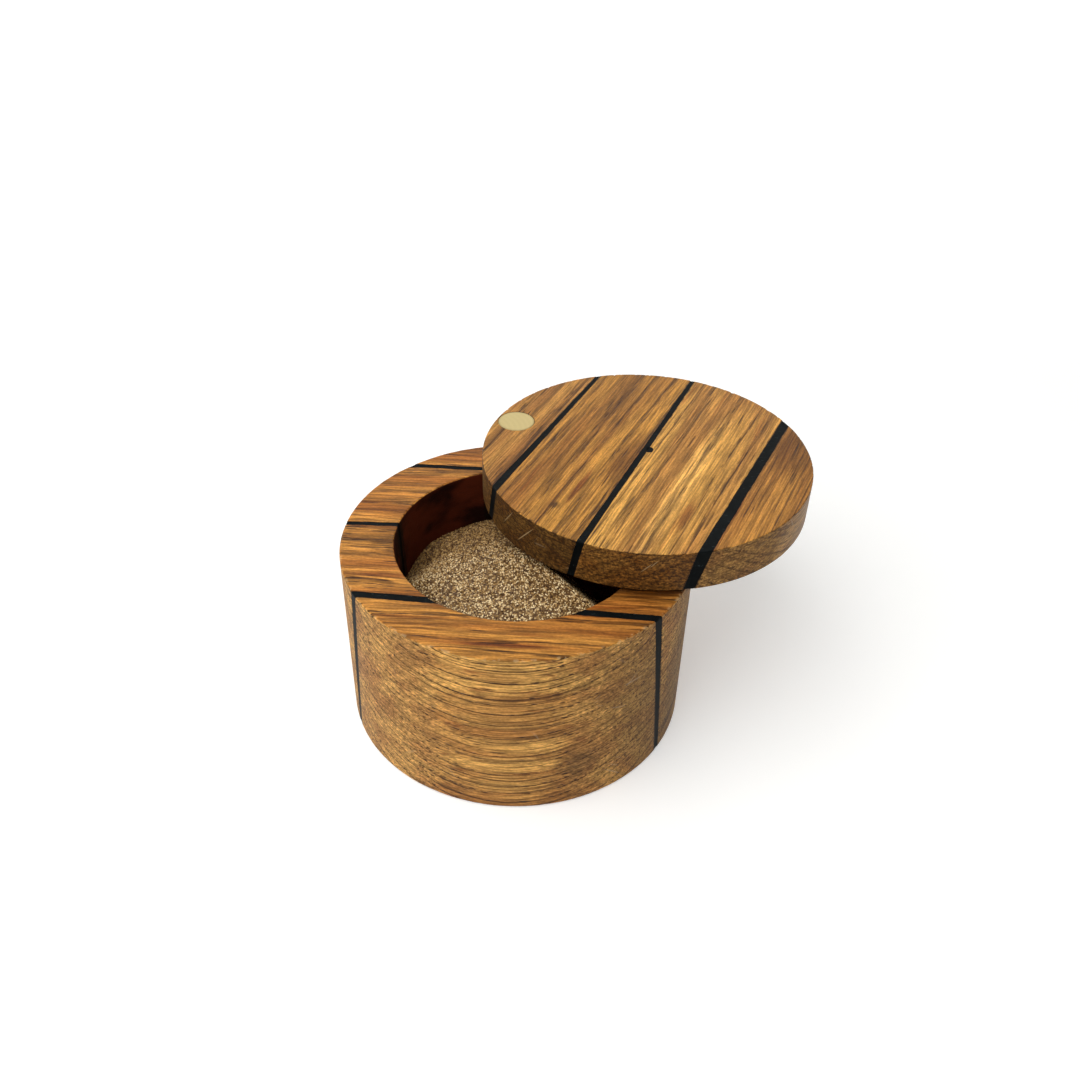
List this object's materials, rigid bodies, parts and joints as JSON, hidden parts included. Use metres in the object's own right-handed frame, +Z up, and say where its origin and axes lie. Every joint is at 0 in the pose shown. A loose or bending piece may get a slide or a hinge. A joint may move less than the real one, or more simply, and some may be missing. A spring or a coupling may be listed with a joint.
{
  "type": "salt box",
  "caption": "Round laminated oak salt box with dark resin seams, a bored hollow holding salt, and a round lid that swings aside on an upright dowel.",
  "frame": {"origin": "middle of the foot of the bowl, on the surface that it stands on", "axes": "+Z up, +Y from the middle of the bowl to the upright dowel that the lid turns on, +X to the right"},
  "size_m": [0.1176, 0.1054, 0.0594],
  "materials": {
    "bowl_oak": "oiled oak, satin, medium brown with dark pores",
    "lid_oak": "oiled oak, satin, medium brown with dark pores",
    "resin": "black casting resin, sanded to a soft gloss",
    "dowel_wood": "pale hardwood dowel, end grain showing",
    "salt": "coarse smoked salt, loose grains"
  },
  "bodies": {
    "bowl": {"bowl_plank_front": "bowl_oak", "bowl_plank_mid_front": "bowl_oak", "bowl_plank_mid_back": "bowl_oak", "bowl_plank_back": "bowl_oak", "bowl_seam_front": "resin", "bowl_seam_middle": "resin", "bowl_seam_back": "resin", "salt_heap": "salt"},
    "lid": {"lid_plank_front": "lid_oak", "lid_plank_mid_front": "lid_oak", "lid_plank_mid_back": "lid_oak", "lid_plank_back": "lid_oak", "lid_seam_front": "resin", "lid_seam_middle": "resin", "lid_seam_back": "resin", "pivot_dowel": "dowel_wood"}
  },
  "joints": [
    {"name": "lid_swing", "type": "hinge", "parent": "bowl", "child": "lid", "pos_m": [0, 0.0365, 0.0491], "axis": [0, 0, 1], "continuous": true}
  ]
}
